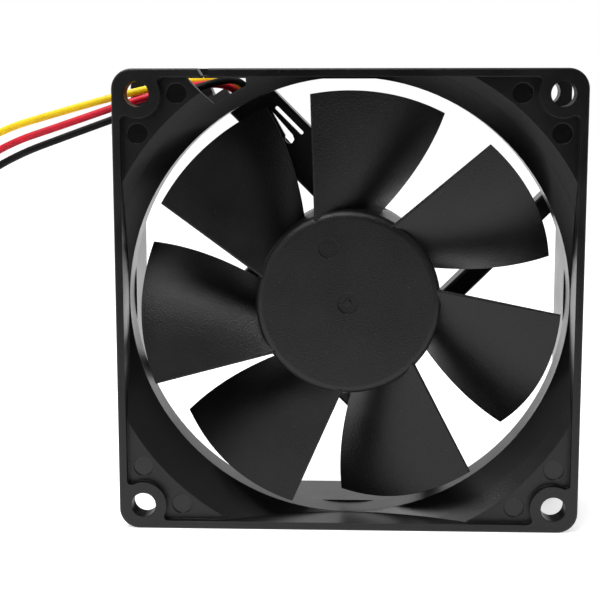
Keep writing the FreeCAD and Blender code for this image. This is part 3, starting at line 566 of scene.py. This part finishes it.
def make_materials():
    """Every material slot of the record, by name."""
    return {
        "frame_plastic": frame_plastic("frame_plastic", FRAME_BLACK, 0.38),
        "impeller_plastic": moulded("impeller_plastic", BLADE_BLACK, 0.30, 0.08, 0.40,
                                    variation=0.45, specular=0.3),
        "bearing_steel": turned_metal("bearing_steel", (0.60, 0.61, 0.62), 0.18),
        "pressed_steel": sheet_metal("pressed_steel", (0.52, 0.53, 0.54), 0.34),
        "magnet_ferrite": ferrite("magnet_ferrite", (0.06, 0.055, 0.05)),
        "brass": turned_metal("brass", (0.74, 0.56, 0.27), 0.26),
        "core_steel": laminated_steel("core_steel", (0.40, 0.41, 0.43)),
        "bobbin_nylon": moulded("bobbin_nylon", NATURAL_NYLON, 0.2, 0.006, 0.42, variation=0.05),
        "enamelled_copper": wound_copper("enamelled_copper", (0.62, 0.24, 0.09)),
        "board_laminate": board("board_laminate", (0.02, 0.13, 0.05)),
        "chip_epoxy": moulded("chip_epoxy", (0.016, 0.016, 0.017), 0.08, 0.005, 0.5),
        "ceramic_chip": ceramic("ceramic_chip", (0.42, 0.30, 0.20)),
        "solder": solder("solder", (0.70, 0.70, 0.71)),
        "label_film": film("label_film", (0.42, 0.43, 0.44)),
        "lead_yellow_pvc": vinyl("lead_yellow_pvc", (0.80, 0.55, 0.002), (0.68, 0.42, 0.004)),
        "lead_red_pvc": vinyl("lead_red_pvc", (0.58, 0.006, 0.025), (0.42, 0.008, 0.02)),
        "lead_black_pvc": vinyl("lead_black_pvc", (0.002, 0.002, 0.0025), (0.008, 0.008, 0.008),
                                sheen=0.12),
        "connector_nylon": moulded("connector_nylon", NATURAL_NYLON, 0.3, 0.006, 0.38, variation=0.04),
        "tinned_brass": sheet_metal("tinned_brass", (0.66, 0.64, 0.58), 0.28),
        "tie_nylon": moulded("tie_nylon", (0.012, 0.012, 0.012), 0.2, 0.01, 0.42),
    }


def dress_nodes(materials):
    """Gives each CAD node the material of its slot."""
    for row in frame["record"]["subparts"]:
        mesh = NODES[row["node"]].data
        if not mesh.materials:
            mesh.materials.append(None)
        for index in range(len(mesh.materials)):
            mesh.materials[index] = materials[row["material_slot"]]


# ---- studio ----
# Metres and watts. The light from a direction runs from ROOM to COVE as the direction's Y goes
# from ROOM_ENDS to COVE_STARTS.

WHITE = (1.0, 1.0, 1.0, 1.0)
COVE = 0.87
ROOM = 0.05
ROOM_ENDS = -0.7
COVE_STARTS = 0.3
FLOOR_PALE = (0.85, 0.85, 0.85)
FLOOR_GLOW = 0.58
FLOOR_REACH = 1.6
FLOOR_FRONT = 0.18
TOP_BOX = {"place": (-0.13, -0.12, 0.42), "width": 0.42, "height": 0.16, "watts": 2.55}
SIDE_BOX = {"place": (-0.45, -0.60, 0.25), "width": 0.4, "height": 0.4, "watts": 0.82}


def make_floor():
    """A pale, flat floor that the fan stands on."""
    lowest = CAD_BOX[0][2]
    corners = [(-FLOOR_REACH, -FLOOR_FRONT), (FLOOR_REACH, -FLOOR_FRONT),
               (FLOOR_REACH, FLOOR_REACH), (-FLOOR_REACH, FLOOR_REACH)]
    mesh = bpy.data.meshes.new("floor")
    mesh.from_pydata([(x, y, lowest) for x, y in corners], [], [(0, 1, 2, 3)])
    floor = bpy.data.objects.new("floor", mesh)
    surface = Surface("floor", FLOOR_PALE, 0.7, specular=0.2)
    surface.shader.inputs["Emission Color"].default_value = WHITE
    surface.shader.inputs["Emission Strength"].default_value = FLOOR_GLOW
    mesh.materials.append(surface.material)
    bpy.context.scene.collection.objects.link(floor)


def make_world():
    """A white cove behind the fan and a dim room in front. The camera itself sees white all round."""
    world = bpy.data.worlds.new("studio")
    world.use_nodes = True
    tree = world.node_tree
    background = tree.nodes["Background"]
    direction = tree.nodes.new("ShaderNodeTexCoord")
    split = tree.nodes.new("ShaderNodeSeparateXYZ")
    ramp = tree.nodes.new("ShaderNodeMapRange")
    ramp.inputs["From Min"].default_value = ROOM_ENDS
    ramp.inputs["From Max"].default_value = COVE_STARTS
    ramp.inputs["To Min"].default_value = ROOM
    ramp.inputs["To Max"].default_value = COVE
    tree.links.new(direction.outputs["Generated"], split.inputs["Vector"])
    tree.links.new(split.outputs["Y"], ramp.inputs["Value"])
    rays = tree.nodes.new("ShaderNodeLightPath")
    seen = tree.nodes.new("ShaderNodeMath")
    seen.operation = "MAXIMUM"
    tree.links.new(ramp.outputs["Result"], seen.inputs[0])
    tree.links.new(rays.outputs["Is Camera Ray"], seen.inputs[1])
    tree.links.new(seen.outputs["Value"], background.inputs["Strength"])
    background.inputs["Color"].default_value = WHITE
    bpy.context.scene.world = world


def make_light(name, place, width, height, watts):
    """A soft box that faces the fan's middle."""
    data = bpy.data.lights.new(name, "AREA")
    data.shape = "RECTANGLE"
    data.size = width
    data.size_y = height
    data.energy = watts
    light = bpy.data.objects.new(name, data)
    light.location = place
    light.rotation_euler = (-Vector(place)).to_track_quat("-Z", "Y").to_euler()
    bpy.context.scene.collection.objects.link(light)


def make_studio():
    """The floor, the white surroundings and two soft boxes."""
    make_floor()
    make_world()
    make_light("top_box", **TOP_BOX)
    make_light("side_box", **SIDE_BOX)
    bpy.context.scene.view_settings.view_transform = "Standard"


def main():
    """The leads as curves, a material on every piece, and the studio."""
    make_camera()
    leads = {colour: make_lead(colour) for colour in LEAD_ROUTES}
    materials = make_materials()
    dress_nodes(materials)
    for colour, piece in leads.items():
        piece.data.materials.append(materials["lead_" + colour + "_pvc"])
    make_studio()


main()
